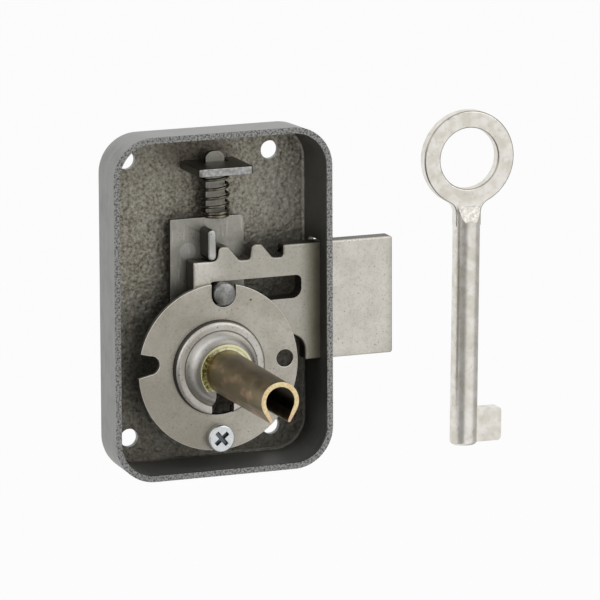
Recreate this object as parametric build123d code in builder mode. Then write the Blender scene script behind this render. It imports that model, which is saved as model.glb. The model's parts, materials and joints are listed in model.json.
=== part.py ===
"""Surface-mounted furniture lock: an open pressed-steel case with a double-throw dead bolt, one sprung
tumbler, a handing disc that carries a slotted brass key tube, and the bit key that stands beside it.

Millimetres. X is the bolt's throw, Y runs into the lock from the open rim, Z is up. The origin is the
key axis in the plane of the rim.
"""

import os
from math import acos, asin, atan2, cos, degrees, hypot, pi, radians, sin

from build123d import *

# Case
case_left = 26.0  # from the key axis to each outer side, at the rim
case_right = 27.2
case_bottom = 25.0
head_room = 2.45  # from the tongue at full lift to the case's outer top
wall = 1.4
draft = 2.0  # degrees that the pressed walls lean in
corner_r = 9.5
back_edge_r = 4.0
floor_edge_r = 0.7  # inside, where the walls meet the floor
hole_span_x = 35.0
hole_span_z = 65.0
hole_centre_x = -0.65
hole_centre_z = 15.2
hole_r = 2.15

# Bolt
disc_gap = 0.3  # between the disc and the bolt
bolt_thick = 4.1
bolt_left = 5.4
bolt_head_x = 43.7
bolt_foot = 0.45
arm_edge = 5.8
foot_x = 21.9
foot_fillet = 3.8
edge_round = 0.5
throw = 8.15  # one turn of the key
throws = 2
tooth_x = 0.4
valley = 24.25
tooth_tall = 3.4  # these three are over the valley
shelf_rise = 0.25
top_rise = 2.8
tooth_flat = 2.3
tooth_lead = 0.5
tooth_slope = 2.75
tooth_round = 1.1
valley_round = 0.7
shelf_round = 1.2
head_round = 0.6
tooth_skin = 1.0  # the toothed front layer
relief = 0.2  # how far the step behind the teeth lies under the valleys
talon_depth = 3.8
talon_wide = 4.6
talon_lead = 0.6
talon_round = 0.8
slot_spare_left = 0.4  # slot beyond the stud at each end of the travel
slot_spare_right = 0.7
slot_play = 0.05  # each side of the guide stud
slot_corner = 1.3
slot_lower_corner = 2.3
wall_slot_play = 0.12
wall_slot_over = 0.35  # gap above the bolt in the wall
wall_slot_corner = 0.6  # at the bolt's rounded front edge
wall_slot_round = 1.8  # behind the bolt
wall_slot_floor = 2.0  # from the slot to the floor

# Tumbler
tumbler_gap = 1.0  # behind the bolt
tumbler_thick = 1.3
tumbler_x = -0.15
tumbler_half = 9.0
shoulder_rise = 2.0  # over the stump
tumbler_corner = 1.2
tongue_x = 1.95
tongue_wide = 4.6
tongue_rise = 2.45  # over the bracket
tongue_round = 1.9
lift_over = 0.5  # from the teeth to the stump at full lift
rest_gap = 0.1

# Stump
stump_side = 0.25  # from the first tooth
stump_wide = 2.0
stump_tall = 7.1
stump_gap = 0.25  # over the shelf
stump_proud = 0.3  # in front of the bolt
stump_clear = 0.2  # behind the toothed layer and over the teeth
stump_tail_wide = 1.3
stump_tail_tall = 4.8

# Spring bracket
bracket_left = 5.2
bracket_right = 8.15
bracket_thick = 1.9
bracket_front = 0.5
bracket_corner_left = 1.2
bracket_corner_right = 0.9
tongue_play = 0.15
tongue_space = 1.0
tenon_inset = 1.1

# Spring
spring_wire = 0.65
spring_lead = 0.15  # how far the coil sits right of and before the tongue's middle
spring_play = 0.1  # round the tongue
spring_clear = 0.173  # to the floor
spring_end_rise = 0.04  # of the straight ends
spring_heights = (0.0, 1.12, 2.52, 4.42, 6.52, 8.8, 10.22)  # of the wire's front after each turn

# Disc
disc_r = 19.5
disc_front = 2.5
disc_thick = 1.2
top_notch_play = 0.3  # beside the guide stud
top_notch_under = 0.43  # under it
side_notch_z = 1.75
side_notch_r = 2.2
side_notch_deep = 5.1
side_notch_flare = 1.2
spare_hole_in = 3.2  # from the disc's edge to its centre
spare_hole_z = 0.8
spare_hole_r = 2.05

# Tube seat
seat_r = 11.05
seat_step_r = 8.8
seat_step_front = 0.75
seat_shoulder = 1.1
seat_nose_r = 7.9
seat_nose_front = -2.1
seat_nose_round = 1.4
seat_thick = 1.1
bit_slot_x = 0.35
bit_slot_wide = 5.4

# Brass key tube
tube_r = 4.5
tube_wall = 1.1
tube_tip = -36.3
tube_slot_half = 1.85
tube_slot_rise = 0.5
tube_arm_z = 4.8
tube_arm_half = 2.35
collar_r = 6.4
collar_thick = 0.8
collar_cut = 4.3
lip_r = 5.1
lip_thick = 0.4

# Guide stud, screw post and disc screw
stud_x = 1.4
stud_z = 17.08
stud_r = 2.65
stud_tip = 1.0
stud_dome = 0.7  # height of its domed end
stud_edge_round = 0.4
stud_collar_r = 4.2
stud_collar_gap = 0.1
stud_tenon_r = 2.2
post_in = 3.05  # from the disc's edge to its axis
post_r = 3.5
post_tenon_r = 2.5
screw_r = 2.0
screw_long = 7.0
screw_head_r = 3.2
screw_head_thick = 1.9
screw_head_round = 0.5
screw_hole_r = 2.3
recess_wide = 0.95
recess_long = 3.9
recess_deep = 1.2

# Key
key_x = 64.78  # its axis at Z = 0
key_y = 10.9
key_lean = 0.8  # degrees
key_r = 3.2
key_tip = -25.5
key_tip_round = 0.8
bow_z = 42.7
bow_r = 11.3
bow_hole_r = 7.2
bow_thick = 2.8
bow_round = 0.5
bow_neck_r = 3.0
facet_foot = 26.8
facet_top = 31.8
bit_reach = 9.05
bit_foot = -25.0
bit_top = -17.0
bit_thick = 2.8
bit_round = 1.0

# Derived places
travel = throw * throws
disc_back = disc_front + disc_thick
bolt_front = disc_back + disc_gap
bolt_back = bolt_front + bolt_thick
tumbler_front = bolt_back + tumbler_gap
tumbler_back = tumbler_front + tumbler_thick
spring_x = tongue_x + spring_lead
spring_y = (tumbler_front + tumbler_back) / 2 - spring_lead
spring_bore_r = hypot(tongue_wide / 2 + spring_lead, tumbler_thick / 2 + spring_lead) + spring_play
spring_mean_r = spring_bore_r + spring_wire / 2
floor_y = spring_y + spring_mean_r + spring_wire / 2 + spring_clear
case_depth = floor_y + wall
tooth_top = valley + tooth_tall
shelf = valley + shelf_rise
bolt_top = valley + top_rise
relief_z = valley - relief
stump_x = tooth_x - stump_side - stump_wide / 2
stump_foot = shelf + stump_gap
stump_end = bolt_front - stump_proud
stump_step_y = bolt_front + tooth_skin + stump_clear
stump_step_z = tooth_top + stump_clear
lift = tooth_top + lift_over - stump_foot
belly = bit_reach - lift
tumbler_top = stump_foot + stump_tall + shoulder_rise
spring_low = tumbler_top + spring_wire / 2 + spring_end_rise
bracket_under = spring_low + spring_heights[-1] + spring_wire / 2 + spring_end_rise
bracket_top = bracket_under + bracket_thick
tongue_top = bracket_top + tongue_rise
case_top = tongue_top + lift + head_room
case_mid_x = (case_right - case_left) / 2
case_mid_z = (case_top - case_bottom) / 2
case_wide = case_left + case_right
case_high = case_top + case_bottom
lean_in = case_depth * sin(radians(draft)) / cos(radians(draft))
stud_slot_r = stud_r + slot_play
side_notch_in = disc_r - side_notch_deep
spare_hole_x = disc_r - spare_hole_in
post_z = post_in - disc_r
top_notch_x = stud_x
top_notch_r = stud_r + top_notch_play
top_notch_foot = stud_z - stud_r - top_notch_under
collar_y = tumbler_back + stud_collar_gap
collar_front = seat_nose_front - collar_thick
lip_y = seat_nose_front + seat_thick + lip_thick
notch_x0 = tongue_x - tongue_wide / 2 - tongue_play
notch_x1 = tongue_x + tongue_wide / 2 + tongue_space
tenons = (
    (-bracket_left + tenon_inset, notch_x0 - tenon_inset),
    (notch_x1 + tenon_inset / 2, bracket_right - tenon_inset / 2),
)


def depth_plane(y):
    """A plane parallel to the rim, y deep. A negative extrusion goes deeper into the lock."""
    return Plane.XZ.offset(-y)


def tray(shrink, deep, edge_r):
    """The tapering block of the case, shrink smaller all round, open towards -Y."""
    with BuildPart() as block:
        for y, less in ((0.0, 0.0), (deep, lean_in * deep / case_depth)):
            with BuildSketch(depth_plane(y)):
                with Locations((case_mid_x, case_mid_z)):
                    RectangleRounded(
                        case_wide - 2 * (shrink + less),
                        case_high - 2 * (shrink + less),
                        corner_r - shrink - less,
                    )
        loft()
        fillet(block.edges().group_by(Axis.Y)[-1], edge_r)
    return block.part


def tooth_corners():
    """Corners and radii of the bolt's upper edge, from the shelf over the teeth to the arm's wall."""
    corners = [(-bolt_left, shelf, 0.4), (tooth_x, shelf, shelf_round)]
    for n in range(throws):
        x = tooth_x + n * throw
        corners += [
            (x + tooth_lead, tooth_top, tooth_round),
            (x + tooth_lead + tooth_flat, tooth_top, tooth_round),
            (x + tooth_lead + tooth_flat + tooth_slope, valley, tooth_round),
            (x + throw, valley, valley_round),
        ]
    return corners


def talon_corners():
    """Corners and radii of the bolt's lower edge, with one notch for the key's bit per throw."""
    corners = [(-bolt_left, arm_edge, 0.4)]
    for n in range(throws):
        x, top = throw / 2 + n * throw, arm_edge + talon_depth
        corners += [
            (x - talon_wide / 2 - talon_lead, arm_edge, 0),
            (x - talon_wide / 2, top, talon_round),
            (x + talon_wide / 2, top, talon_round),
            (x + talon_wide / 2 + talon_lead, arm_edge, 0),
        ]
    return corners + [(foot_x, arm_edge, foot_fillet), (foot_x, -bolt_foot, 0.5)]


def tube_section(r, half, foot):
    """A round section whose sides run straight down to a slot, half a slot wide, foot below the axis."""
    reach = hypot(half, foot)
    swing = degrees(acos(r / reach))
    first = degrees(atan2(-foot, half)) + swing
    with BuildSketch(Plane.XY) as section:
        with BuildLine():
            round_part = CenterArc((0, 0), r, first, 180 - 2 * first)
            Polyline(round_part @ 1, (-half, -foot), (half, -foot), round_part @ 0)
        make_face()
    return section.sketch


def tube_outline():
    """The tube's outside with its slot's mouth closed by a straight line."""
    return tube_section(tube_r, tube_arm_half, tube_arm_z)


def tube_bore():
    """The tube's inside, which runs out through the slot."""
    with BuildSketch(Plane.XY) as bore:
        add(tube_section(tube_r - tube_wall, tube_slot_half, tube_arm_z - tube_slot_rise))
        with Locations((0, -tube_arm_z)):
            Rectangle(2 * tube_slot_half, 2 * tube_slot_rise + 1)
    return bore.sketch


# Case: pressed tray with drafted walls, four fixing holes and the bolt's slot in the right wall
with BuildPart() as case:
    add(tray(0.0, case_depth, back_edge_r))
    add(tray(wall, floor_y, floor_edge_r), mode=Mode.SUBTRACT)
    with BuildSketch(depth_plane(floor_y - 1)):
        with Locations((hole_centre_x, hole_centre_z)):
            with GridLocations(hole_span_x, hole_span_z, 2, 2):
                Circle(hole_r)
        with Locations((stud_x, stud_z)):
            Circle(stud_tenon_r)
        with Locations((0, post_z)):
            Circle(post_tenon_r)
        for x0, x1 in tenons:
            with Locations(((x0 + x1) / 2, bracket_top - bracket_thick / 2)):
                Rectangle(x1 - x0, bracket_thick)
    extrude(amount=-(wall + 2), mode=Mode.SUBTRACT)
    with BuildSketch(Plane.YZ.offset(case_right - 3 * wall)):
        with BuildLine():
            y0, y1 = bolt_front - wall_slot_play, floor_y - wall_slot_floor
            z0, z1 = -bolt_foot - wall_slot_play, bolt_top + wall_slot_over
            FilletPolyline(
                (y0, z0), (y1, z0), (y1, z1), (y0, z1),
                radius=(0.3, wall_slot_round, wall_slot_round, wall_slot_corner),
                close=True,
            )
        make_face()
    extrude(amount=5 * wall, mode=Mode.SUBTRACT)
case.part.label = "case"

# Spring bracket: a lug riveted upright in the floor, notched for the tumbler's tongue
with BuildPart() as spring_bracket:
    with BuildSketch(Plane.XY.offset(bracket_under)):
        with BuildLine():
            FilletPolyline(
                (-bracket_left, bracket_front),
                (bracket_right, bracket_front),
                (bracket_right, floor_y),
                (-bracket_left, floor_y),
                radius=(bracket_corner_left, bracket_corner_right, 0, 0),
                close=True,
            )
        make_face()
        for x0, x1 in tenons:
            with Locations(((x0 + x1) / 2, (floor_y + case_depth) / 2)):
                Rectangle(x1 - x0, wall)
        notch_y = tumbler_front - tongue_play
        with Locations(((notch_x0 + notch_x1) / 2, (notch_y + floor_y) / 2)):
            Rectangle(notch_x1 - notch_x0, floor_y - notch_y, mode=Mode.SUBTRACT)
    extrude(amount=bracket_thick)
spring_bracket.part.label = "spring_bracket"

# Tumbler: a plate behind the bolt, slotted on the guide stud, with a tongue through the bracket
with BuildPart() as tumbler:
    with BuildSketch(depth_plane(tumbler_front)):
        with BuildLine():
            FilletPolyline(
                (tumbler_x - tumbler_half, belly),
                (tumbler_x + tumbler_half, belly),
                (tumbler_x + tumbler_half, tumbler_top),
                (tongue_x + tongue_wide / 2, tumbler_top),
                (tongue_x + tongue_wide / 2, tongue_top),
                (tongue_x - tongue_wide / 2, tongue_top),
                (tongue_x - tongue_wide / 2, tumbler_top),
                (tumbler_x - tumbler_half, tumbler_top),
                radius=(1.5, 1.5, tumbler_corner, 0, tongue_round, tongue_round, 0, 0.3),
                close=True,
            )
        make_face()
        with Locations((stud_x, stud_z - lift / 2)):
            SlotCenterToCenter(lift + 2 * rest_gap, 2 * stud_slot_r, rotation=90, mode=Mode.SUBTRACT)
        with Locations((stump_x, stump_foot + stump_tall / 2)):
            SlotOverall(stump_tail_tall, stump_tail_wide, rotation=90, mode=Mode.SUBTRACT)
    extrude(amount=-tumbler_thick)
tumbler.part.label = "tumbler"

# Stump: obround pin riveted in the tumbler. Its foot stops behind the bolt's toothed layer
with BuildPart() as tumbler_stump:
    with BuildSketch(depth_plane(stump_end)):
        with Locations((stump_x, stump_foot + stump_tall / 2)):
            SlotOverall(stump_tall, stump_wide, rotation=90)
    extrude(amount=-(tumbler_front - stump_end))
    with BuildSketch(depth_plane(tumbler_front)):
        with Locations((stump_x, stump_foot + stump_tall / 2)):
            SlotOverall(stump_tail_tall, stump_tail_wide, rotation=90)
    extrude(amount=-tumbler_thick)
    with BuildSketch(depth_plane(stump_end)):
        with Locations((stump_x, (stump_foot + stump_step_z) / 2)):
            Rectangle(2 * stump_wide, stump_step_z - stump_foot)
    extrude(amount=-(stump_step_y - stump_end), mode=Mode.SUBTRACT)
tumbler_stump.part.label = "tumbler_stump"

# Tumbler spring: a coil round the tongue, from the tumbler's shoulders to the bracket
spring_turns = len(spring_heights) - 1
rises = [b - a for a, b in zip(spring_heights, spring_heights[1:])]
slopes = [rises[0]] + [(a + b) / 2 for a, b in zip(rises, rises[1:])] + [rises[-1]]


def coil(turns):
    """Point and direction on the coil after so many turns, from its front at the lower end."""
    n = min(int(turns), spring_turns - 1)
    s = turns - n
    height, rise, m0, m1 = spring_heights[n], rises[n], slopes[n], slopes[n + 1]
    z = height + m0 * s + (3 * rise - 2 * m0 - m1) * s**2 + (m0 + m1 - 2 * rise) * s**3
    slope = m0 + 2 * (3 * rise - 2 * m0 - m1) * s + 3 * (m0 + m1 - 2 * rise) * s**2
    angle = 2 * pi * turns
    x, y = spring_x + spring_mean_r * sin(angle), spring_y - spring_mean_r * cos(angle)
    way = Vector(2 * pi * spring_mean_r * cos(angle), 2 * pi * spring_mean_r * sin(angle), slope)
    return Vector(x, y, spring_low + z), way.normalized()


def biarc_joint(p0, t0, p1, t1):
    """Where two arcs meet that leave p0 along t0 and reach p1 along t1, and their direction there."""
    chord, both = p1 - p0, t0 + t1
    share = 2 * (1 - t0.dot(t1))
    reach = (-chord.dot(both) + (chord.dot(both) ** 2 + share * chord.dot(chord)) ** 0.5) / share
    first, last = p0 + t0 * reach, p1 - t1 * reach
    return (first + last) * 0.5, (last - first).normalized()


with BuildPart() as tumbler_spring:
    with BuildLine() as wire_path:
        start, start_way = coil(0)
        Line(start - start_way * spring_wire, start)
        for n in range(4 * spring_turns):
            p0, t0 = coil(n / 4)
            p1, t1 = coil((n + 1) / 4)
            joint, way = biarc_joint(p0, t0, p1, t1)
            TangentArc(p0, joint, tangent=t0)
            TangentArc(joint, p1, tangent=way)
        end, end_way = coil(spring_turns)
        Line(end, end + end_way * spring_wire)
    with BuildSketch(Plane(origin=start - start_way * spring_wire, z_dir=start_way)):
        Circle(spring_wire / 2)
    sweep(path=wire_path.wires()[0])
tumbler_spring.part.label = "tumbler_spring"

samples = [coil(n / 60)[0] for n in range(60 * spring_turns + 1)]
apart = [(a - b).length for i, a in enumerate(samples) for b in samples[i + 30 :]]
print(f"tumbler_spring least gap to itself {min(apart) - spring_wire:.2f} mm")

# Bolt: one plate with head, slotted arm, teeth over a stepped-back edge, and two talon notches
with BuildPart() as bolt:
    with BuildSketch(depth_plane(bolt_front)):
        with BuildLine():
            head = [(bolt_head_x, -bolt_foot, head_round), (bolt_head_x, bolt_top, head_round)]
            top = [(tooth_x + travel, bolt_top, 0.4)] + tooth_corners()[::-1]
            corners = talon_corners() + head + top
            points = [(x, z) for x, z, r in corners]
            FilletPolyline(*points, radius=[r for x, z, r in corners], close=True)
        make_face()
        with BuildLine():
            x0 = stud_x - stud_slot_r - slot_spare_left
            x1 = stud_x + travel + stud_r + slot_spare_right
            z0, z1 = stud_z - stud_slot_r, stud_z + stud_slot_r
            FilletPolyline(
                (x0, z0), (x1, z0), (x1, z1), (x0, z1),
                radius=(slot_corner, slot_lower_corner, slot_corner, slot_corner),
                close=True,
            )
        make_face(mode=Mode.SUBTRACT)
    extrude(amount=-bolt_thick)
    with BuildSketch(depth_plane(bolt_front + tooth_skin)):
        step_x = tooth_x + travel
        with Locations(((step_x - bolt_left - 1) / 2, (relief_z + tooth_top + 1) / 2)):
            Rectangle(step_x + bolt_left + 1, tooth_top + 1 - relief_z)
    extrude(amount=-bolt_thick, mode=Mode.SUBTRACT)
    fillet(bolt.faces().sort_by(Axis.X)[-1].edges(), edge_round)
bolt.part.label = "bolt"

# Cover disc: turns in quarter steps for the hand of the door
with BuildPart() as cover_disc:
    with BuildSketch(depth_plane(disc_front)):
        Circle(disc_r)
        Circle(seat_r, mode=Mode.SUBTRACT)
        with Locations((top_notch_x, top_notch_foot + top_notch_r)):
            Circle(top_notch_r, mode=Mode.SUBTRACT)
            with Locations((0, top_notch_r + 1)):
                Rectangle(2 * top_notch_r, 2 * top_notch_r + 2, mode=Mode.SUBTRACT)
        with Locations((-side_notch_in - side_notch_r, side_notch_z)):
            Circle(side_notch_r, mode=Mode.SUBTRACT)
            Polygon(
                (0, side_notch_r),
                (-disc_r + side_notch_in, side_notch_r + side_notch_flare),
                (-disc_r + side_notch_in, -side_notch_r - side_notch_flare),
                (0, -side_notch_r),
                align=None,
                mode=Mode.SUBTRACT,
            )
        with Locations((spare_hole_x, spare_hole_z)):
            Circle(spare_hole_r, mode=Mode.SUBTRACT)
        with Locations((0, post_z)):
            Circle(screw_hole_r, mode=Mode.SUBTRACT)
    extrude(amount=-disc_thick)
cover_disc.part.label = "cover_disc"

# Tube seat: drawn cup in two steps, set in the disc, with the slot that lets the key's bit in
with BuildPart() as tube_seat:
    with BuildSketch(Plane.XY):
        with BuildLine():
            inner_front = seat_nose_front + seat_thick
            FilletPolyline(
                (seat_r, disc_back),
                (seat_r, seat_step_front),
                (seat_step_r, seat_step_front),
                (seat_nose_r, seat_nose_front),
                (tube_r, seat_nose_front),
                (tube_r, inner_front),
                (seat_nose_r - seat_thick, inner_front),
                (seat_step_r - seat_thick, seat_step_front + seat_thick),
                (seat_r - seat_thick, seat_step_front + seat_thick),
                (seat_r - seat_thick, disc_back),
                radius=(0, seat_shoulder, 0.15, seat_nose_round, 0, 0, 0.4, 0.4, 0.4, 0),
                close=True,
            )
        make_face()
    revolve(axis=Axis.Y)
    with BuildSketch(depth_plane(collar_front)):
        with Locations((bit_slot_x, -seat_r / 2 - 1)):
            Rectangle(bit_slot_wide, seat_r + 2)
        add(tube_outline())
    extrude(amount=-(disc_back - collar_front), mode=Mode.SUBTRACT)
tube_seat.part.label = "tube_seat"

# Key tube: rolled brass, open along its foot, with a collar staked in front of the seat
with BuildPart() as key_tube:
    with BuildSketch(depth_plane(tube_tip)):
        add(tube_outline())
        add(tube_bore(), mode=Mode.SUBTRACT)
    extrude(amount=-(lip_y - tube_tip))
    with BuildSketch(depth_plane(collar_front)):
        Circle(collar_r)
        add(tube_outline(), mode=Mode.SUBTRACT)
        with Locations((0, -collar_r - collar_cut)):
            Rectangle(4 * collar_r, 2 * collar_r, mode=Mode.SUBTRACT)
    extrude(amount=-collar_thick)
    with BuildSketch(depth_plane(lip_y - lip_thick)):
        Circle(lip_r)
        add(tube_outline(), mode=Mode.SUBTRACT)
        with Locations((0, -collar_r - tube_arm_z / 2)):
            Rectangle(4 * collar_r, 2 * collar_r, mode=Mode.SUBTRACT)
    extrude(amount=-lip_thick)
key_tube.part.label = "key_tube"

# Guide stud: riveted in the floor, collared behind the tumbler, domed in front of the bolt
with BuildPart() as guide_stud:
    with BuildSketch(Plane.XY.offset(stud_z)):
        with BuildLine():
            cap_r = (stud_r**2 + stud_dome**2) / (2 * stud_dome)
            cap = CenterArc((stud_x, stud_tip + cap_r), cap_r, -90, degrees(asin(stud_r / cap_r)))
            Polyline(
                cap @ 1,
                (stud_x + stud_r, collar_y),
                (stud_x + stud_collar_r, collar_y),
                (stud_x + stud_collar_r, floor_y),
                (stud_x + stud_tenon_r, floor_y),
                (stud_x + stud_tenon_r, case_depth),
                (stud_x, case_depth),
                cap @ 0,
            )
        make_face()
    revolve(axis=Axis((stud_x, 0, stud_z), (0, 1, 0)))
    rim = [e for e in guide_stud.edges() if abs(e.center().Y - stud_tip - stud_dome) < 0.01]
    fillet(rim, stud_edge_round)
guide_stud.part.label = "guide_stud"

# Screw post: riveted in the floor, drilled and tapped for the disc's screw
with BuildPart() as screw_post:
    with BuildSketch(depth_plane(disc_back)):
        with Locations((0, post_z)):
            Circle(post_r)
    extrude(amount=-(floor_y - disc_back))
    with BuildSketch(depth_plane(floor_y)):
        with Locations((0, post_z)):
            Circle(post_tenon_r)
    extrude(amount=-wall)
    with BuildSketch(depth_plane(disc_back)):
        with Locations((0, post_z)):
            Circle(screw_r)
    extrude(amount=-(disc_front + screw_long - disc_back + 0.3), mode=Mode.SUBTRACT)
screw_post.part.label = "screw_post"

# Disc screw: pan head with a cross recess
with BuildPart() as disc_screw:
    with BuildSketch(depth_plane(disc_front - screw_head_thick)):
        with Locations((0, post_z)):
            Circle(screw_head_r)
    extrude(amount=-screw_head_thick)
    fillet(disc_screw.edges().sort_by(Axis.Y)[0], screw_head_round)
    with BuildSketch(depth_plane(disc_front)):
        with Locations((0, post_z)):
            Circle(screw_r)
    extrude(amount=-screw_long)
    with BuildSketch(depth_plane(disc_front - screw_head_thick)):
        with Locations((0, post_z)):
            Rectangle(recess_long, recess_wide, rotation=40)
            Rectangle(recess_long, recess_wide, rotation=130)
    extrude(amount=-recess_deep, mode=Mode.SUBTRACT)
disc_screw.part.label = "disc_screw"

# Key: flat ring bow, round shank faceted under it, and a plain bit
lean = radians(key_lean)
key_face = Plane(origin=(key_x, key_y, 0), x_dir=(cos(lean), 0, -sin(lean)), z_dir=(0, -1, 0))
key_side = Plane(origin=(key_x, key_y, 0), x_dir=(0, 1, 0), z_dir=key_face.x_dir)
key_foot = Plane(origin=key_face.from_local_coords((0, key_tip, 0)), z_dir=key_face.y_dir)
with BuildPart() as key:
    with BuildSketch(key_face.offset(bow_thick / 2)) as bow_shape:
        with Locations((0, bow_z)):
            Circle(bow_r)
        with Locations((0, (bow_z + facet_foot) / 2)):
            Rectangle(2 * key_r, bow_z - facet_foot)
        inside = [v for v in bow_shape.vertices() if abs(v.Y - (bow_z - bow_r)) < 1.5]
        fillet(inside, bow_neck_r)
        with Locations((0, bow_z)):
            Circle(bow_hole_r, mode=Mode.SUBTRACT)
    extrude(amount=-bow_thick)
    ring_edges = key.edges().filter_by(GeomType.CIRCLE).filter_by(lambda e: e.radius > key_r + 1)
    fillet(ring_edges, bow_round)
    with BuildSketch(key_foot):
        Circle(key_r)
    extrude(amount=facet_top - key_tip)
    for side in (1, -1):
        with BuildSketch(key_side):
            Polygon(
                (side * key_r, facet_foot),
                (side * bow_thick / 2, facet_top),
                (side * bow_thick / 2, facet_top + 1),
                (side * (key_r + 1), facet_top + 1),
                (side * (key_r + 1), facet_foot),
                align=None,
            )
        extrude(amount=key_r + 1, both=True, mode=Mode.SUBTRACT)
    fillet(key.edges().filter_by(GeomType.CIRCLE).sort_by(Axis.Z)[0], key_tip_round)
    with BuildSketch(key_face):
        with BuildLine():
            FilletPolyline(
                (0, bit_foot),
                (bit_reach, bit_foot),
                (bit_reach, bit_top),
                (0, bit_top),
                radius=(0, bit_round, bit_round, 0),
                close=True,
            )
        make_face()
    extrude(amount=bit_thick / 2, both=True)
key.part.label = "key"

pieces = (
    case,
    spring_bracket,
    tumbler,
    tumbler_stump,
    tumbler_spring,
    bolt,
    cover_disc,
    tube_seat,
    key_tube,
    guide_stud,
    screw_post,
    disc_screw,
    key,
)
os.makedirs("parts", exist_ok=True)
for piece in pieces:
    export_step(piece.part, f"parts/{piece.part.label}.step")
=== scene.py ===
"""Looks of the furniture lock and its key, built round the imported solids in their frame, in metres."""

import json
from math import cos, pi, radians, sin

import bmesh
import bpy
from mathutils import Euler, Matrix, Vector

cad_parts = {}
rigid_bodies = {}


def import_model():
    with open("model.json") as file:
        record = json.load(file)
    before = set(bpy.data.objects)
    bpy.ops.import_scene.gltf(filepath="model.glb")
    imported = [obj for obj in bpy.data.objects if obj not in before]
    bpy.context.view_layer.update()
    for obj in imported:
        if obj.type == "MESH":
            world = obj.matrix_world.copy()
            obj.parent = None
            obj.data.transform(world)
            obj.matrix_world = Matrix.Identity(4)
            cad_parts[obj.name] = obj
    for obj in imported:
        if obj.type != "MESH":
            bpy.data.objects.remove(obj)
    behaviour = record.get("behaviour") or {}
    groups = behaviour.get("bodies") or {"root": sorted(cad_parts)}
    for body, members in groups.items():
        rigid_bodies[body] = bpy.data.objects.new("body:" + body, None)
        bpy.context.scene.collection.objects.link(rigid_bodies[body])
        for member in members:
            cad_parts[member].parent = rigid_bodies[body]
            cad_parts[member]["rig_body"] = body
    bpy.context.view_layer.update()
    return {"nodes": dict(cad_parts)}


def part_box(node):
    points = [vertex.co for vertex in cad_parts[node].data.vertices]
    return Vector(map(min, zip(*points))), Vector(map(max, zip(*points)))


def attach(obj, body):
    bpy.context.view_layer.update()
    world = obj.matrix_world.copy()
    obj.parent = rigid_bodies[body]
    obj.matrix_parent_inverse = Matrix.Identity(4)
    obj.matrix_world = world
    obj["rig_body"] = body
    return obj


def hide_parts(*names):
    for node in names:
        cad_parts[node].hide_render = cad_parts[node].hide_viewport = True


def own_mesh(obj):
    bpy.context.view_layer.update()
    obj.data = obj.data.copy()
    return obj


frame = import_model()
nodes = frame["nodes"]
mm = 0.001

# Photographer's stand: a long lens to the left of the lock and a little above it. The lamps are one
# large soft box to the right and above, a weak one to the left, and a pale room all round.
camera = bpy.data.objects.new("camera", bpy.data.cameras.new("camera"))
camera.data.lens = 377.986
camera.data.sensor_width = 36.0
camera.data.clip_start = 0.05
camera.data.clip_end = 60.0
stand = Vector((-498.963, -1315.936, 311.951)) * mm
turn = Euler([radians(angle) for angle in (78.1296, 0.2192, -21.535)], "XYZ")
camera.matrix_world = Matrix.Translation(stand) @ turn.to_matrix().to_4x4()
bpy.context.scene.collection.objects.link(camera)
bpy.context.scene.camera = camera
bpy.context.scene.view_settings.view_transform = "Standard"


def lamp(name, place, aim, size, watts):
    """A round soft box that shines from place towards aim."""
    light = bpy.data.lights.new(name, "AREA")
    light.shape = "DISK"
    light.size = size
    light.energy = watts
    box = bpy.data.objects.new(name, light)
    away = Vector(place) - Vector(aim)
    box.matrix_world = Matrix.Translation(place) @ away.to_track_quat("Z", "Y").to_matrix().to_4x4()
    bpy.context.scene.collection.objects.link(box)


lock_middle = (0.01, 0.0, 0.01)
lamp("soft_box_right", (0.75, -0.75, 0.8), lock_middle, 1.0, 2.6)
lamp("soft_box_left", (-0.9, -0.6, 0.35), lock_middle, 0.8, 1.5)


# Room: the floor is a wide white table some way under the lock, and all round is white. There is a dark
# gap to the front, which the bright metal shows, and the room is dimmer behind and to the right.
class Value:
    """A shader socket that Python's operators work on, so that a pattern reads as a formula."""

    def __init__(self, tree, socket):
        self.tree = tree
        self.socket = socket

    def math(self, operation, *values):
        made = self.tree.nodes.new("ShaderNodeMath")
        made.operation = operation
        for place, value in zip(made.inputs, values):
            plug(self.tree, place, value)
        return Value(self.tree, made.outputs[0])

    def __add__(self, other):
        return self.math("ADD", self, other)

    def __radd__(self, other):
        return self.math("ADD", other, self)

    def __sub__(self, other):
        return self.math("SUBTRACT", self, other)

    def __rsub__(self, other):
        return self.math("SUBTRACT", other, self)

    def __mul__(self, other):
        return self.math("MULTIPLY", self, other)

    def __rmul__(self, other):
        return self.math("MULTIPLY", other, self)

    def __truediv__(self, other):
        return self.math("DIVIDE", self, other)

    def __pow__(self, other):
        return self.math("POWER", self, other)

    def most(self, other):
        return self.math("MAXIMUM", self, other)

    def size(self):
        return self.math("ABSOLUTE", self)

    def rise(self, low, high):
        """0 below low, 1 above high and smooth between them. With low above high it falls."""
        made = self.tree.nodes.new("ShaderNodeMapRange")
        made.interpolation_type = "SMOOTHSTEP"
        for name, value in (("Value", self), ("From Min", low), ("From Max", high)):
            plug(self.tree, made.inputs[name], value)
        return Value(self.tree, made.outputs[0])


def plug(tree, socket, value):
    """Gives a shader socket a link or a plain value."""
    if isinstance(value, Value):
        tree.links.new(value.socket, socket)
    else:
        socket.default_value = value


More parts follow.
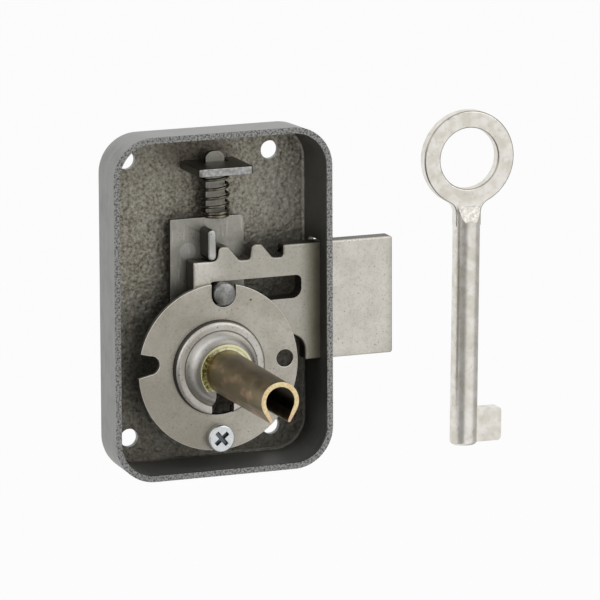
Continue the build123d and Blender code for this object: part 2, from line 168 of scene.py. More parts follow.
class Graph:
    """A shader tree. node adds a node, with its settings and its sockets' values or links."""

    def __init__(self, tree):
        self.tree = tree

    def node(self, kind, settings=None, sockets=None, out=0):
        made = self.tree.nodes.new(kind)
        for key, value in (settings or {}).items():
            setattr(made, key, value)
        for key, value in (sockets or {}).items():
            plug(self.tree, made.inputs[key], value)
        return Value(self.tree, made.outputs[out])

    def parts(self, vector):
        return [self.node("ShaderNodeSeparateXYZ", sockets={0: vector}, out=n) for n in range(3)]

    def mix(self, share, first, second):
        """A colour between two colours."""
        return self.node(
            "ShaderNodeMix", {"data_type": "RGBA"}, {0: share, 6: first, 7: second}, 2
        )


class Finish(Graph):
    """One finish, metal unless told otherwise: a Principled shader and the patterns that drive it."""

    def __init__(self, name):
        self.material = bpy.data.materials.new(name)
        self.material.use_nodes = True
        super().__init__(self.material.node_tree)
        self.shader = self.tree.nodes["Principled BSDF"]
        self.shader.inputs["Metallic"].default_value = 1.0
        self.place = self.node("ShaderNodeTexCoord", out="Object")
        self.facing = self.node("ShaderNodeTexCoord", out="Normal")
        self.x, self.y, self.z = self.parts(self.place)
        self.nx, self.ny, self.nz = self.parts(self.facing)

    def noise(self, grain, seed=0.0, detail=3.0, rough=0.5, stretch=(1.0, 1.0, 1.0)):
        """Noise with blotches about grain wide, 0 to 1. stretch makes them longer along an axis."""
        scale = [1.0 / (grain * s) for s in stretch]
        place = self.node("ShaderNodeMapping", sockets={"Vector": self.place, "Scale": scale})
        spots = {"Vector": place, "W": seed, "Scale": 1.0, "Detail": detail, "Roughness": rough}
        return self.node("ShaderNodeTexNoise", {"noise_dimensions": "4D"}, spots, "Fac")

    def pits(self, apart, wide, seed=0.0):
        """Scattered round pits, 1 inside them. apart is their spacing and wide their largest width."""
        spots = {"Vector": self.place, "W": seed, "Scale": 1.0 / apart, "Randomness": 1.0}
        cell = {"voronoi_dimensions": "4D"}
        near = self.node("ShaderNodeTexVoronoi", cell, spots, "Distance")
        kind = self.node("ShaderNodeTexVoronoi", cell, spots, "Color")
        size = self.parts(kind)[0].rise(0.4, 1.0) * (wide / apart / 2)
        return (size - near).rise(0.0, 0.04)

    def away(self, x=0.0, z=0.0):
        """Distance from a line parallel to the Y axis."""
        return ((self.x - x) * (self.x - x) + (self.z - z) * (self.z - z)) ** 0.5

    def ring(self, radius, half, soft, x=0.0, z=0.0):
        """A ring about a line parallel to the Y axis, 1 on it."""
        return (self.away(x, z) - radius).size().rise(half + soft, half)

    def attribute(self, name):
        return self.node("ShaderNodeAttribute", {"attribute_name": name}, out="Fac")

    def bump(self, height, depth):
        """Relief: height times depth is in metres."""
        return self.node("ShaderNodeBump", sockets={"Height": height, "Distance": depth}, out="Normal")

    def set(self, **sockets):
        for key, value in sockets.items():
            plug(self.tree, self.shader.inputs[key.replace("_", " ")], value)


def room_light(graph, way):
    """How bright the room is in a direction. The room is turned a little about the upright."""
    x, y, z = graph.parts(graph.node("ShaderNodeVectorMath", {"operation": "NORMALIZE"}, {0: way}))
    turned = radians(21.53)
    right = x * cos(turned) - y * sin(turned)
    toward = x * -sin(turned) - y * cos(turned)
    gap = right.rise(-0.8, -0.6) * right.rise(0.3, 0.1) * toward.rise(0.2, 0.5) * z.rise(0.5, 0.25)
    dim = right.rise(0.3, 0.5) * toward.rise(0.2, -0.1)
    return 0.95 - gap * 0.65 - dim * 0.45


table_half, table_top = 12.0, -0.16
bm = bmesh.new()
bmesh.ops.create_grid(bm, x_segments=1, y_segments=1, size=table_half)
bmesh.ops.translate(bm, verts=bm.verts, vec=(0.0, 0.0, table_top))
table = bpy.data.meshes.new("table")
bm.to_mesh(table)
bm.free()
floor = bpy.data.objects.new("floor", table)
bpy.context.scene.collection.objects.link(floor)
paper = Finish("white_paper")
seen = paper.node("ShaderNodeLightPath", out="Is Camera Ray")
gloss = paper.node("ShaderNodeLightPath", out="Is Glossy Ray")
bright = seen.most(gloss * room_light(paper, paper.place))
diffuse = paper.node("ShaderNodeBsdfDiffuse", sockets={"Color": (0.9, 0.9, 0.9, 1.0)})
glow = paper.node("ShaderNodeEmission", sockets={"Color": (1.0, 1.0, 1.0, 1.0)})
plug(paper.tree, glow.socket.node.inputs["Strength"], bright)
blend = paper.node("ShaderNodeMixShader", sockets={0: seen.most(gloss) * 0.95, 1: diffuse, 2: glow})
paper.tree.links.new(blend.socket, paper.tree.nodes["Material Output"].inputs["Surface"])
table.materials.append(paper.material)

world = bpy.data.worlds.new("room")
bpy.context.scene.world = world
world.use_nodes = True
room = Graph(world.node_tree)
seen = room.node("ShaderNodeLightPath", out="Is Camera Ray")
gloss = room.node("ShaderNodeLightPath", out="Is Glossy Ray")
way = room.node("ShaderNodeTexCoord", out="Generated")
fill = 0.45  # how strongly the room lights what isn't glossy
backdrop = world.node_tree.nodes["Background"]
plug(room.tree, backdrop.inputs["Color"], (1.0, 1.0, 1.0, 1.0))
plug(room.tree, backdrop.inputs["Strength"], seen.most(gloss * room_light(room, way)).most(fill))

# Case: a tray pressed from 1.4 mm sheet and tumbled. Its floor is blotched and brownish, darker towards
# the bottom and the upper left and lighter towards the right, with painted shade behind the bolt and
# the disc and a greasy smear with painted shadow above the bracket. Its rim is speckled, with painted
# shade on its outer edge, and its sides have faint lines from the press. Their upward faces are
# painted lighter and the inner walls painted dark, as light and shade.
touching = 1e-7  # points this close, in metres, are one
level = 1e-6  # how far a point may lie from a plane that it is on


def eased(name, width, finish, segments=2, cut=None):
    """A copy of a solid with its sharp edges rounded off, which stands for that solid. cut shapes it
    first. The rounded faces carry an attribute, edge, for the wear, painted highlight and painted shade
    on them."""
    flat_angle, sharp_angle = radians(0.5), radians(35.0)
    solid = nodes[name]
    bm = bmesh.new()
    bm.from_mesh(solid.data)
    bmesh.ops.remove_doubles(bm, verts=bm.verts, dist=touching)
    bmesh.ops.dissolve_limit(bm, angle_limit=flat_angle, verts=bm.verts, edges=bm.edges)
    bmesh.ops.recalc_face_normals(bm, faces=bm.faces)
    if cut:
        cut(bm)
    edge = bm.faces.layers.float.new("edge")
    sharp = [e for e in bm.edges if e.is_manifold and e.calc_face_angle() > sharp_angle]
    made = bmesh.ops.bevel(
        bm,
        geom=sharp,
        offset=width,
        offset_type="OFFSET",
        affect="EDGES",
        segments=segments,
        profile=0.5,
        clamp_overlap=True,
        material=-1,
    )
    for face in made["faces"]:
        face[edge] = 1.0
    placed(bm, name + "_shown", solid["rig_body"], finish, (name,))


def placed(bm, name, body, finish, stands_for):
    """Turns a bmesh into a piece of the object that moves with a body and stands for solids."""
    for face in bm.faces:
        face.smooth = True
    bmesh.ops.triangulate(bm, faces=bm.faces)
    mesh = bpy.data.meshes.new(name)
    bm.to_mesh(mesh)
    bm.free()
    piece = bpy.data.objects.new(name, mesh)
    bpy.context.scene.collection.objects.link(piece)
    mesh.materials.append(finish.material)
    sharpen = piece.modifiers.new("sharpen", "EDGE_SPLIT")
    sharpen.split_angle = radians(50.0)
    even = piece.modifiers.new("even", "WEIGHTED_NORMAL")
    even.keep_sharp = True
    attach(piece, body)
    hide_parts(*stands_for)
    return piece


case_low, case_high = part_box("case")
middle = (case_low + case_high) / 2
floor_face = case_high.y - 1.4 * mm
tray = Finish("case_steel")
blotch = tray.noise(0.7 * mm, 1.0, 4.0, 0.65)
speckle = tray.noise(0.45 * mm, 4.0, 2.0, 0.6)
cloud = tray.noise(5.0 * mm, 2.0, 3.0, 0.6)
dents = tray.noise(1.7 * mm, 6.0, 1.0, 0.5)
drawn = tray.noise(0.5 * mm, 3.0, 3.0, 0.6, (14.0, 1.0, 14.0))
rounded_edge = tray.attribute("edge")
floor_side = tray.y.rise(floor_face - 0.8 * mm, floor_face - 0.2 * mm) * tray.ny.rise(-0.2, -0.9)
rim_side = tray.y.rise(0.25 * mm, 0.05 * mm)
outward = (tray.nx * (tray.x - middle.x) + tray.nz * (tray.z - middle.z)).rise(0.0, 3 * mm)
plain = tray.mix(drawn.rise(0.3, 0.7), (0.265, 0.265, 0.255, 1), (0.315, 0.315, 0.305, 1))
plain = tray.mix(cloud.rise(0.45, 0.7) * 0.35, plain, (0.19, 0.19, 0.18, 1))
# Faces turned upward are painted lighter, as lit from above.
plain = tray.mix(tray.nz.rise(0.6, 0.95) * 0.5, plain, (0.37, 0.37, 0.365, 1))
# The inner walls are painted dark as shade, most at mid height and least where they face upward.
inner_wall_shade = outward.rise(0.5, 0.0) * tray.y.rise(0.3 * mm, 0.8 * mm) * tray.ny.rise(-0.8, -0.4)
shade = tray.z.rise(-5 * mm, 8 * mm) * tray.z.rise(34 * mm, 24 * mm) * 0.45 + 0.4
plain = tray.mix(inner_wall_shade * (shade - tray.nz.rise(0.3, 0.9) * 0.35), plain, (0.06, 0.06, 0.052, 1))
brown = tray.mix(cloud.rise(0.35, 0.65), (0.275, 0.252, 0.202, 1), (0.315, 0.303, 0.252, 1))
gritty = tray.mix(blotch.rise(0.45, 0.72) * 0.95, brown, (0.52, 0.5, 0.44, 1))
gritty = tray.mix(blotch.rise(0.48, 0.34) * 0.75, gritty, (0.09, 0.078, 0.062, 1))
# The floor is lighter towards the right.
lighter_stretch = tray.x.rise(5 * mm, 22 * mm) * tray.z.rise(50 * mm, 40 * mm)
gritty = tray.mix(lighter_stretch * 0.25, gritty, (0.5, 0.48, 0.43, 1))
# Painted shade on the floor behind the bolt and behind the disc.
shade_behind_bolt = tray.x.rise(2 * mm, 12 * mm) * tray.z.rise(31 * mm, 25 * mm)
shade_behind_disc = tray.away().rise(20 * mm, 16 * mm)
gritty = tray.mix(shade_behind_bolt.most(shade_behind_disc) * 0.55, gritty, (0.06, 0.058, 0.05, 1))
# A dark smear of grease on the floor above the bracket, with the bracket's shadow painted in with it.
smear_and_shadow_x, smear_and_shadow_z = (tray.x + 2 * mm) / (9 * mm), (tray.z - 48.8 * mm) / (3.2 * mm)
smear_and_shadow = (smear_and_shadow_x * smear_and_shadow_x + smear_and_shadow_z * smear_and_shadow_z).rise(1.5, 0.3) * (0.3 + blotch)
gritty = tray.mix(smear_and_shadow * 0.45, gritty, (0.09, 0.065, 0.048, 1))
# Darker towards the upper left, and towards the bottom.
corner = tray.z.rise(36 * mm, 52 * mm) * tray.x.rise(8 * mm, -16 * mm)
gritty = tray.mix(corner * 0.3, gritty, (0.14, 0.115, 0.09, 1))
gritty = tray.mix(tray.z.rise(18 * mm, -12 * mm) * 0.5, gritty, (0.09, 0.085, 0.07, 1))
rimmed = tray.mix(speckle.rise(0.36, 0.6), (0.09, 0.09, 0.085, 1), (0.34, 0.34, 0.33, 1))
# The rim's outer rounded edge is painted dark as shade.
rimmed = tray.mix(rounded_edge * outward * 0.85, rimmed, (0.05, 0.05, 0.045, 1))
tint = tray.mix(rim_side, tray.mix(floor_side, plain, gritty), rimmed)
relief = (blotch * 0.5 + dents.rise(0.36, 0.6) * 0.9) * floor_side + speckle * (rim_side * 0.5 + 0.1)
tray.set(
    Base_Color=tint,
    Roughness=0.38 + speckle * 0.14 + (floor_side + inner_wall_shade) * 0.12,
    Normal=tray.bump(relief, 0.11 * mm),
)
eased("case", 0.2 * mm, tray)

# Bracket, guide stud and screw post: plain cut steel, riveted in the floor. The bracket's cut front
# is brighter and grainy, its flat sides are dark.
cut_steel = Finish("bracket_steel")
speckle = cut_steel.noise(0.7 * mm, 5.0, 3.0, 0.6)
front = cut_steel.ny.rise(-0.5, -0.9)
dark = cut_steel.mix(speckle, (0.1, 0.097, 0.085, 1), (0.19, 0.182, 0.16, 1))
bright = cut_steel.mix(speckle.rise(0.35, 0.65), (0.27, 0.27, 0.262, 1), (0.45, 0.45, 0.435, 1))
cut_steel.set(
    Base_Color=cut_steel.mix(front, dark, bright),
    Roughness=0.36,
    Normal=cut_steel.bump(speckle, 0.05 * mm),
)
eased("spring_bracket", 0.25 * mm, cut_steel)
stud_steel = Finish("stud_steel")
cloud = stud_steel.noise(1.4 * mm, 8.0, 3.0, 0.6)
stud_steel.set(
    Base_Color=stud_steel.mix(cloud.rise(0.35, 0.65), (0.2, 0.2, 0.19, 1), (0.34, 0.34, 0.33, 1)),
    Roughness=0.34 + cloud * 0.2,
    Normal=stud_steel.bump(cloud, 0.03 * mm),
)
eased("guide_stud", 0.1 * mm, stud_steel)
eased("screw_post", 0.1 * mm, stud_steel)


# Bolt: a stamped plate, tumbled until its edges are round and bright, their brightness partly painted
# highlight. Its faces are satin and warm grey, with small pits and short scratches, and greasy where
# they rub, the grease partly painted shade inside the case and beside the wall. Its cut sides are
# painted dark as shade, and its teeth are as thick as the rest of it.
def plate_steel(name, low, high, edge, pit_apart, rough, grease_and_shade_stretches=(), mark=None):
    """Satin steel plate between two greys, with bright worn edges, partly painted highlight, and sides
    painted dark as shade. The stretches given along X carry old grease and painted shade: where each
    starts, is full, thins and ends, in millimetres, and how much of it there is. mark is the middle of a
    round witness mark."""
    plate = Finish(name)
    fine = plate.noise(0.6 * mm, 11.0, 4.0, 0.6)
    cloud = plate.noise(5.0 * mm, 12.0, 3.0, 0.55)
    streak = plate.noise(0.5 * mm, 14.0, 2.0, 0.5, (1.0, 1.0, 8.0))
    speck = plate.noise(0.5 * mm, 15.0, 1.0, 0.5)
    holes = plate.pits(pit_apart, 0.9 * mm, 3.0)
    rounded_edge = plate.attribute("edge")
    # Faces turned sideways, the cut sides, are painted dark as shade.
    side = plate.ny.size().rise(0.3, 0.1)
    face = plate.mix(cloud.rise(0.3, 0.7), low, high)
    face = plate.mix(fine.rise(0.45, 0.75) * 0.25, face, (0.2, 0.185, 0.16, 1))
    face = plate.mix(streak.rise(0.55, 0.75) * 0.35, face, (0.7, 0.68, 0.64, 1))
    face = plate.mix(speck.rise(0.66, 0.72) * 0.6, face, (0.12, 0.11, 0.09, 1))
    face = plate.mix(holes * 0.8, face, (0.09, 0.08, 0.07, 1))
    # Rounded edges painted bright: tumbling wear, and partly painted highlight.
    face = plate.mix(rounded_edge * 0.85, face, edge)
    # Each stretch is old grease with painted shade in it.
    for start, full, thin, end, much in grease_and_shade_stretches:
        grease_and_shade = plate.x.rise(start * mm, full * mm) * plate.x.rise(end * mm, thin * mm)
        grease_and_shade = grease_and_shade * (much * 0.8 + cloud * (much * 0.4))
        face = plate.mix(grease_and_shade, face, (0.12, 0.11, 0.072, 1))
    if mark:
        mark_r = 2.1 * mm
        face = plate.mix(plate.ring(mark_r, 0.05 * mm, 0.3 * mm, *mark) * 0.45, face, low)
        face = plate.mix(plate.away(*mark).rise(mark_r, mark_r - 0.3 * mm) * 0.25, face, edge)
    plate.set(
        Base_Color=plate.mix(side * (0.7 + cloud * 0.3), face, (0.05, 0.046, 0.038, 1)),
        Roughness=rough + fine * 0.16,
        Normal=plate.bump(fine * 0.5 + cloud * 0.3 - holes, 0.04 * mm),
    )
    return plate


def full_teeth(bm):
    """Brings the step behind the bolt's toothed layer back to the plate's rear."""
    bolt_low, bolt_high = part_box("bolt")
    step = bolt_low.y + 1.0 * mm
    for vert in bm.verts:
        if abs(vert.co.y - step) < level:
            vert.co.y = bolt_high.y
    bmesh.ops.remove_doubles(bm, verts=bm.verts, dist=touching)
    bmesh.ops.dissolve_degenerate(bm, dist=touching, edges=bm.edges)


bolt_plate = plate_steel(
    "bolt_plate", (0.6, 0.575, 0.515, 1), (0.7, 0.67, 0.61, 1), (0.93, 0.91, 0.87, 1), 2.8 * mm, 0.4,
    # Darker stretches from the bolt's left end to the wall, beside the wall, and at the head's end: grease
    # and painted shade.
    [(-3.0, 4.0, 25.0, 27.0, 0.38), (20.0, 25.0, 26.0, 27.0, 0.85), (41.5, 43.6, 50.0, 51.0, 0.2)],
)
eased("bolt", 0.5 * mm, bolt_plate, segments=3, cut=full_teeth)

# Tumbler: a darker plate behind the bolt, with a round witness mark where it was pressed. Its stump is
# an obround pin, riveted in it, that stands just proud of the bolt and has a rounded front edge.
dark_plate = plate_steel(
    "tumbler_plate", (0.27, 0.262, 0.23, 1), (0.37, 0.36, 0.318, 1), (0.6, 0.59, 0.57, 1), 2.6 * mm, 0.36,
    mark=(-4.9 * mm, 26.3 * mm),
)
eased("tumbler", 0.2 * mm, dark_plate)
stump_steel = plate_steel(
    "stump_steel", (0.4, 0.4, 0.375, 1), (0.58, 0.57, 0.54, 1), (0.7, 0.7, 0.68, 1), 1.5 * mm, 0.34
)
(stump_left, stump_front, stump_foot), (stump_right, _, stump_top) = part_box("tumbler_stump")
stump_x, stump_r = (stump_left + stump_right) / 2, (stump_right - stump_left) / 2
stump_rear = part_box("tumbler")[0].y + 0.05 * mm
stump_sides, stump_edge = 32, 0.45 * mm
bm = bmesh.new()
outline = []
for n in range(stump_sides):
    angle = 2 * pi * (n + 0.5) / stump_sides
    end = stump_top - stump_r if sin(angle) > 0 else stump_foot + stump_r
    outline.append(bm.verts.new((stump_x + stump_r * cos(angle), stump_front, end + stump_r * sin(angle))))
pulled = bmesh.ops.extrude_face_region(bm, geom=[bm.faces.new(outline)])
moved = [v for v in pulled["geom"] if isinstance(v, bmesh.types.BMVert)]
bmesh.ops.translate(bm, verts=moved, vec=(0, stump_rear - stump_front, 0))
bmesh.ops.recalc_face_normals(bm, faces=bm.faces)
rim = [e for e in bm.edges if all(abs(v.co.y - stump_front) < level for v in e.verts)]
bmesh.ops.bevel(
    bm, geom=rim, offset=stump_edge, offset_type="OFFSET", affect="EDGES", segments=4, profile=0.5,
    material=-1,
)
placed(bm, "tumbler_stump_shown", "lever", stump_steel, ("tumbler_stump",))

# Spring: hard drawn wire, dark brown from its heat treatment. Its lowest turn is closed on the one
# above it.
wire = Finish("spring_steel")
cloud = wire.noise(1.0 * mm, 21.0, 3.0, 0.6)
wire.set(
    Base_Color=wire.mix(cloud.rise(0.3, 0.7), (0.11, 0.098, 0.07, 1), (0.23, 0.215, 0.165, 1)),
    Roughness=0.28,
)
coil_low, coil_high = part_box("tumbler_spring")
axis_x, axis_y = (coil_low.x + coil_high.x) / 2, (coil_low.y + coil_high.y) / 2
coil_r, wire_r = 3.0 * mm, 0.38 * mm
heights = [  # of the wire in millimetres, every half turn, from the back
    34.25, 34.23, 34.5, 34.99, 35.75, 36.62, 37.6, 38.63, 39.68, 40.75, 41.87, 43.0, 43.86, 44.4,
]
around, steps = 12, 20  # points round the wire, and loops of them in half a turn
bm = bmesh.new()
loops = []
for n in range(steps * (len(heights) - 1) + 1):
    half, share = divmod(n, steps)
    share /= steps
    low, high = heights[half], heights[min(half + 1, len(heights) - 1)]
    before = heights[half - 1] if half else low
    after = heights[half + 2] if half + 2 < len(heights) else 2 * high - low
    rise, rise_in, rise_out = high - low, (high - before) / 2, (after - low) / 2
    z = low + rise_in * share + (3 * rise - 2 * rise_in - rise_out) * share**2
    z += (rise_in + rise_out - 2 * rise) * share**3
    angle = pi * (n / steps - 1)
    out = Vector((sin(angle), -cos(angle), 0))
    centre = Vector((axis_x, axis_y, z * mm)) + out * coil_r
    loop = []
    for k in range(around):
        spot = out * cos(2 * pi * k / around) + Vector((0, 0, sin(2 * pi * k / around)))
        loop.append(bm.verts.new(centre + spot * wire_r))
    loops.append(loop)
for one, two in zip(loops, loops[1:]):
    for k in range(around):
        bm.faces.new((one[k], one[(k + 1) % around], two[(k + 1) % around], two[k]))
bm.faces.new(loops[0])
bm.faces.new(loops[-1])
bmesh.ops.recalc_face_normals(bm, faces=bm.faces)
coil = placed(bm, "tumbler_spring_shown", "lock_case", wire, ("tumbler_spring",))
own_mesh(coil)

# Disc and tube seat: blanked and drawn from one kind of sheet. The disc is satin, stained in places,
# with small pits, and painted darker low on the left as shade. The cup is smoother, with a nose of one
# soft curve, a painted highlight on top of its step, and dirt and painted shade where its steps meet.
seat_low, seat_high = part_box("tube_seat")
seat_r, step_r, flat_r, hole_r = seat_high.z, 8.8 * mm, 6.0 * mm, 4.5 * mm


def sheet_steel(name, low, high, rough):
    """Stained sheet between two greys, with bright worn edges that are partly painted highlight and
    painted shade low on the left. Where the cup is drawn, the top of its step has a painted highlight,
    its nose darkens towards the hole with dirt and painted shade, and dirt and painted shade lie at the
    foot of both."""
    sheet = Finish(name)
    fine = sheet.noise(0.6 * mm, 31.0, 4.0, 0.6)
    cloud = sheet.noise(7.0 * mm, 32.0, 3.0, 0.55)
    stain = sheet.noise(2.2 * mm, 35.0, 4.0, 0.65)
    speck = sheet.noise(0.5 * mm, 36.0, 1.0, 0.5)
    holes = sheet.pits(2.0 * mm, 0.7 * mm, 5.0)
    rounded_edge = sheet.attribute("edge")
    # Painted shade low on the left.
    shade_low_left = (sheet.x + sheet.z).rise(-6.0 * mm, -24.0 * mm)
    upper = sheet.z.rise(0.0 * mm, 6.0 * mm)
    # Dark rings where the cup meets the disc and at the foot of its step: dirt and painted shade.
    outer_dirt_and_shade = sheet.ring(seat_r - 0.05 * mm, 0.05 * mm, 0.2 * mm)
    dirt_and_shade = outer_dirt_and_shade.most(sheet.ring(step_r + 0.1 * mm, 0.02 * mm, 0.18 * mm))
    face = sheet.mix(cloud.rise(0.3, 0.7), low, high)
    face = sheet.mix(stain.rise(0.55, 0.8) * 0.45, face, (0.24, 0.19, 0.13, 1))
    face = sheet.mix(fine.rise(0.45, 0.75) * 0.25, face, (0.2, 0.185, 0.16, 1))
    face = sheet.mix(speck.rise(0.66, 0.7) * 0.6, face, (0.12, 0.1, 0.08, 1))
    face = sheet.mix(holes * 0.8, face, (0.1, 0.08, 0.06, 1))
    # A painted highlight along the top of the cup's step.
    step_highlight = sheet.ring(step_r - 0.7 * mm, 0.3 * mm, 0.6 * mm) * upper
    face = sheet.mix(step_highlight, face, (0.9, 0.88, 0.84, 1))
    # The nose darkens towards the hole: dirt, and painted shade.
    nose = sheet.away().rise(step_r - 0.4 * mm, flat_r + 0.5 * mm)
    face = sheet.mix(nose * 0.6, face, (0.1, 0.09, 0.08, 1))
    face = sheet.mix(shade_low_left * 0.45, face, (0.2, 0.18, 0.14, 1))
    # Rounded edges painted bright: wear, and partly painted highlight.
    face = sheet.mix(rounded_edge * 0.8, face, (0.82, 0.8, 0.76, 1))
    sheet.set(
        Base_Color=sheet.mix(dirt_and_shade * 0.85, face, (0.04, 0.036, 0.03, 1)),
        Roughness=rough + fine * 0.16,
        Normal=sheet.bump(fine * 0.5 + cloud * 0.3 - holes, 0.04 * mm),
    )
    return sheet


disc = sheet_steel("disc_steel", (0.425, 0.395, 0.335, 1), (0.525, 0.5, 0.435, 1), 0.4)
eased("cover_disc", 0.14 * mm, disc)
cup = sheet_steel("seat_steel", (0.52, 0.495, 0.45, 1), (0.6, 0.58, 0.54, 1), 0.3)
nose_y, step_y, rear = seat_low.y, 0.75 * mm, seat_high.y
thick, shoulder, nose_inner_r = 1.1 * mm, 1.1 * mm, 6.8 * mm
slot_left, slot_right = -2.35 * mm, 3.05 * mm
shoulder_steps, nose_steps, round_steps = 8, 14, 120
section = [(seat_r, rear)]
for n in range(shoulder_steps + 1):
    angle = pi / 2 * n / shoulder_steps
    out, back = shoulder * cos(angle), shoulder * (1 - sin(angle))
    section.append((seat_r - shoulder + out, step_y + back))
for n in range(nose_steps + 1):
    share = 1 - n / nose_steps
    section.append((flat_r + (step_r - flat_r) * share, nose_y + (step_y - nose_y) * share**2))
section += [
    (hole_r, nose_y),
    (hole_r, nose_y + thick),
    (nose_inner_r, nose_y + thick),
    (step_r - thick, step_y + thick),
    (seat_r - thick, step_y + thick),
    (seat_r - thick, rear),
]
bm = bmesh.new()
loop = [bm.verts.new((r, y, 0.0)) for r, y in section]
lines = [bm.edges.new(pair) for pair in zip(loop, loop[1:] + loop[:1])]
bmesh.ops.spin(
    bm, geom=loop + lines, cent=(0, 0, 0), axis=(0, 1, 0), angle=2 * pi, steps=round_steps,
    use_merge=True,
)
cut_slack = 1e-8
for side in (slot_left, slot_right):
    every = bm.verts[:] + bm.edges[:] + bm.faces[:]
    bmesh.ops.bisect_plane(bm, geom=every, dist=cut_slack, plane_co=(side, 0, 0), plane_no=(1, 0, 0))
centres = [(face, face.calc_center_median()) for face in bm.faces]
in_slot = [face for face, at in centres if slot_left < at.x < slot_right and at.z < 0]
bmesh.ops.delete(bm, geom=in_slot, context="FACES")
bmesh.ops.holes_fill(bm, edges=[e for e in bm.edges if e.is_boundary])
bmesh.ops.recalc_face_normals(bm, faces=bm.faces)
placed(bm, "tube_seat_shown", "lock_case", cup, ("tube_seat",))


# Key tube: rolled brass that widens towards its collar, browned unevenly by age, painted lighter with
# pinkish painted reflections on its lower left and painted dark as shade inside. Its sawn end is bare
# and yellow, and the collar was staked bright, with a painted highlight round its outer edge and dark
# crumbs in places.
tube_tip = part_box("key_tube")[0].y
tube_r, tube_wall, collar_y = 4.5 * mm, 1.1 * mm, -2.9 * mm


def flared_root(bm):
    """Widens the tube's outside towards its collar."""
    flare, slack = 0.5 * mm, 0.02 * mm
    for vert in bm.verts:
        out = Vector((vert.co.x, 0.0, vert.co.z))
        if abs(vert.co.y - collar_y) < level and abs(out.length - tube_r) < slack:
            vert.co += out.normalized() * flare


brass = Finish("tube_brass")
cloud = brass.noise(3.0 * mm, 41.0, 3.0, 0.6, (1.0, 2.2, 1.0))
reflection_patch = brass.noise(4.0 * mm, 44.0, 2.0, 0.5, (1.0, 1.6, 1.0))
fine = brass.noise(0.5 * mm, 42.0, 3.0, 0.6)
away = brass.away()
tip = brass.y.rise(tube_tip + 0.2 * mm, tube_tip + 0.05 * mm)
bore_r = tube_r - tube_wall
at_collar = brass.y.rise(collar_y - 1.1 * mm, collar_y - 0.3 * mm)
collar = away.rise(tube_r + 0.5 * mm, tube_r + 0.65 * mm) * at_collar
past_tip = brass.y.rise(tube_tip + 0.1 * mm, tube_tip + 0.4 * mm)
# The bore is painted nearly black as shade.
bore_shade = away.rise(bore_r + 0.2 * mm, bore_r + 0.05 * mm) * past_tip
# The lower left side is painted lighter, with pinkish painted reflections in patches, over the patina.
lit_lower_left = (brass.nx * -0.75 + brass.nz * -0.66).rise(-0.3, 0.7)
patina_and_sheen = brass.mix(cloud.rise(0.35, 0.7), (0.13, 0.105, 0.065, 1), (0.24, 0.185, 0.11, 1))
patina_and_sheen = brass.mix(lit_lower_left * 0.7, patina_and_sheen, (0.45, 0.37, 0.235, 1))
patina_and_sheen = brass.mix(lit_lower_left * reflection_patch.rise(0.5, 0.66) * 0.7, patina_and_sheen, (0.85, 0.58, 0.4, 1))
sawn = brass.mix(fine.rise(0.3, 0.7), (0.72, 0.52, 0.26, 1), (0.88, 0.76, 0.48, 1))
sawn = brass.mix(brass.z.rise(-2.0 * mm, -4.6 * mm) * 0.6, sawn, (0.72, 0.45, 0.34, 1))
crumbs = brass.mix(fine.rise(0.42, 0.55), (0.36, 0.33, 0.12, 1), (0.07, 0.06, 0.02, 1))
struck = (brass.z * 0.3 - brass.x).rise(1.0 * mm, 4.5 * mm) * brass.z.rise(5.5 * mm, 3.5 * mm)
groove = brass.ring(5.75 * mm, 0.0, 0.2 * mm)
# The staked collar is bright, and its outermost edge has a painted highlight.
bare_and_highlight = away.rise(6.1 * mm, 6.3 * mm).most(1.0 - struck) * (1.0 - groove * 0.5)
staked = brass.mix(bare_and_highlight * 0.9, crumbs, (0.74, 0.71, 0.46, 1))
face = brass.mix(tip, brass.mix(collar, patina_and_sheen, staked), sawn)
brass.set(
    Base_Color=brass.mix(bore_shade * 0.85, face, (0.03, 0.025, 0.015, 1)),
    Roughness=0.3 + cloud * 0.16,
    Normal=brass.bump(fine * (collar * 0.8 + 0.15), 0.06 * mm),
)
eased("key_tube", 0.12 * mm, brass, cut=flared_root)

# Disc screw: a pan head with a cross recess, driven through the disc into its post. It is zinc plated,
# bright with a bluish cast, with painted shade on the walls and bottom of its recess.
screw_low, screw_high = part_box("disc_screw")
screw_z, crown = (screw_low.z + screw_high.z) / 2, screw_low.y
zinc = Finish("screw_zinc")
fine = zinc.noise(0.4 * mm, 51.0, 3.0, 0.6)
recess = zinc.away(0.0, screw_z).rise(2.6 * mm, 2.4 * mm)
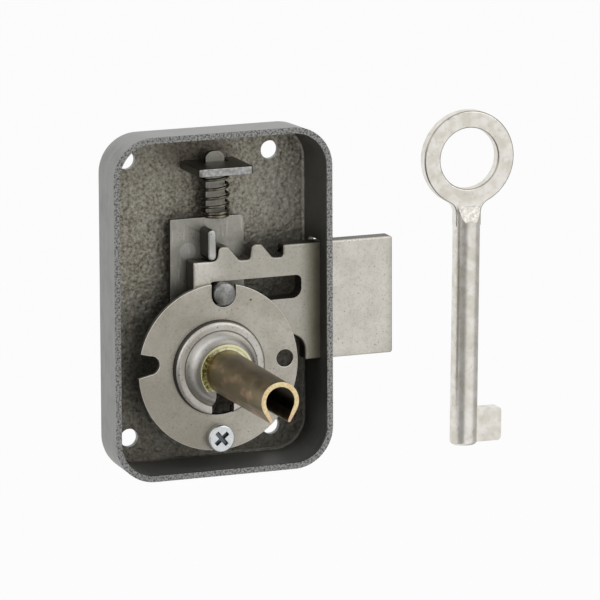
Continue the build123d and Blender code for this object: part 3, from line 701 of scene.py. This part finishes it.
# Painted shade in the recess: darker on its walls, nearly black at its bottom.
recess_wall_shade = zinc.y.rise(crown + 0.02 * mm, crown + 0.15 * mm) * recess
recess_floor_shade = recess_wall_shade * zinc.y.rise(crown + 0.2 * mm, crown + 0.9 * mm)
plated = zinc.mix(fine.rise(0.35, 0.7), (0.62, 0.64, 0.65, 1), (0.76, 0.78, 0.79, 1))
plated = zinc.mix(recess_wall_shade * 0.6, plated, (0.25, 0.29, 0.33, 1))
zinc.set(
    Base_Color=zinc.mix(recess_floor_shade * 0.8, plated, (0.05, 0.06, 0.07, 1)),
    Roughness=0.24 + fine * 0.16,
    Normal=zinc.bump(fine, 0.02 * mm),
)
eased("disc_screw", 0.12 * mm, zinc)

# Key: cast, then nickel plated. The plate follows the casting's slight waves and small pits. Its bow's
# rounded edges have painted dark reflections, and the flat filed under the bow is mottled grey.
nickel = Finish("key_nickel")
fine = nickel.noise(0.6 * mm, 61.0, 4.0, 0.6)
cloud = nickel.noise(3.0 * mm, 62.0, 2.0, 0.5)
holes = nickel.pits(2.4 * mm, 0.6 * mm, 7.0)
spots = nickel.noise(1.2 * mm, 64.0, 4.0, 0.6)
face = nickel.mix(cloud.rise(0.35, 0.65), (0.71, 0.675, 0.6, 1), (0.86, 0.835, 0.785, 1))
face = nickel.mix(spots.rise(0.5, 0.7) * 0.4, face, (0.5, 0.46, 0.38, 1))
face = nickel.mix(holes * 0.7, face, (0.25, 0.22, 0.17, 1))
facing = nickel.ny.size()
# Dark painted reflections on the rounded edges of the bow.
turned = facing.rise(0.97, 0.8) * facing.rise(0.25, 0.5) * nickel.z.rise(29.0 * mm, 33.0 * mm)
face = nickel.mix(turned * 0.6, face, (0.12, 0.11, 0.09, 1))
flat = nickel.nz.rise(0.15, 0.25) * nickel.ny.rise(-0.75, -0.85) * nickel.z.rise(32.3 * mm, 31.3 * mm)
flat = flat * nickel.z.rise(26.0 * mm, 28.6 * mm) * (0.15 + fine.rise(0.35, 0.65) * 0.5)
nickel.set(
    Base_Color=nickel.mix(flat, face, (0.27, 0.255, 0.225, 1)),
    Roughness=0.24 + fine * 0.12 + flat * 0.1,
    Normal=nickel.bump(fine * 0.4 + cloud * 0.5 - holes * 0.6, 0.06 * mm),
)
eased("key", 0.15 * mm, nickel)
